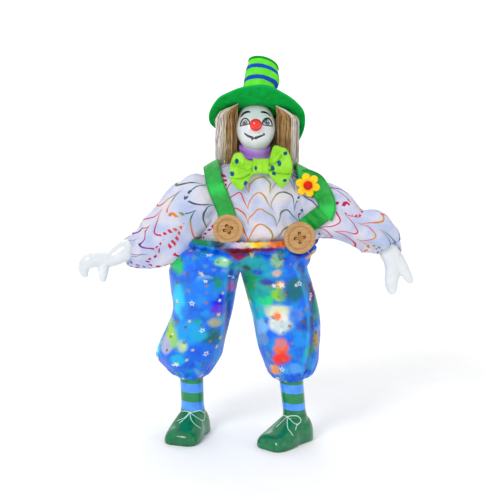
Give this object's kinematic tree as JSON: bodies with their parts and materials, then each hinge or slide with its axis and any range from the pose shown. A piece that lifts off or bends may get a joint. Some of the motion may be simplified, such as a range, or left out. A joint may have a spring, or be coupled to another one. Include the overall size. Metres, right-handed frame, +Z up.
{
  "type": "clown figurine",
  "caption": "Standing clown doll with porcelain head, hands and feet, cloth shirt and baggy trousers, braces, bow tie and a tall felt hat.",
  "frame": {"origin": "on the floor under the middle of the doll's box", "axes": "+Z up from the soles to the hat, the doll looks to -Y, its left side is +X"},
  "size_m": [0.1354, 0.0468, 0.1579],
  "materials": {
    "head_porcelain": "glazed white porcelain with a painted face and a red ball nose",
    "hair_yarn": "straight doll hair, golden brown going to grey",
    "brim_felt": "green felt",
    "crown_felt": "lime felt with blue bands",
    "tip_felt": "green felt",
    "collar_satin": "purple satin ribbon",
    "bow_cotton": "lime cotton with navy dots",
    "shirt_cotton": "white cotton printed with wavy and dotted coloured lines",
    "arm_porcelain": "glazed white porcelain",
    "trouser_satin": "soft satin printed with blue and green clouds and small stars",
    "leg_porcelain": "glazed porcelain painted as striped socks and green laced shoes",
    "brace_satin": "green satin ribbon",
    "button_wood": "pale turned wood",
    "button_thread": "ochre sewing thread",
    "petal_yellow": "smooth yellow",
    "eye_red": "smooth red"
  },
  "bodies": {
    "root": {"head": "head_porcelain", "hair": "hair_yarn", "hat_brim": "brim_felt", "hat_crown": "crown_felt", "hat_tip": "tip_felt", "collar_ribbon": "collar_satin", "bow_tie": "bow_cotton", "bow_knot": "bow_cotton", "shirt": "shirt_cotton", "right_arm": "arm_porcelain", "left_arm": "arm_porcelain", "trousers": "trouser_satin", "right_leg": "leg_porcelain", "left_leg": "leg_porcelain", "right_brace": "brace_satin", "left_brace": "brace_satin", "right_button": "button_wood", "left_button": "button_wood", "right_button_thread": "button_thread", "left_button_thread": "button_thread", "flower_petals": "petal_yellow", "flower_eye": "eye_red"}
  },
  "joints": []
}
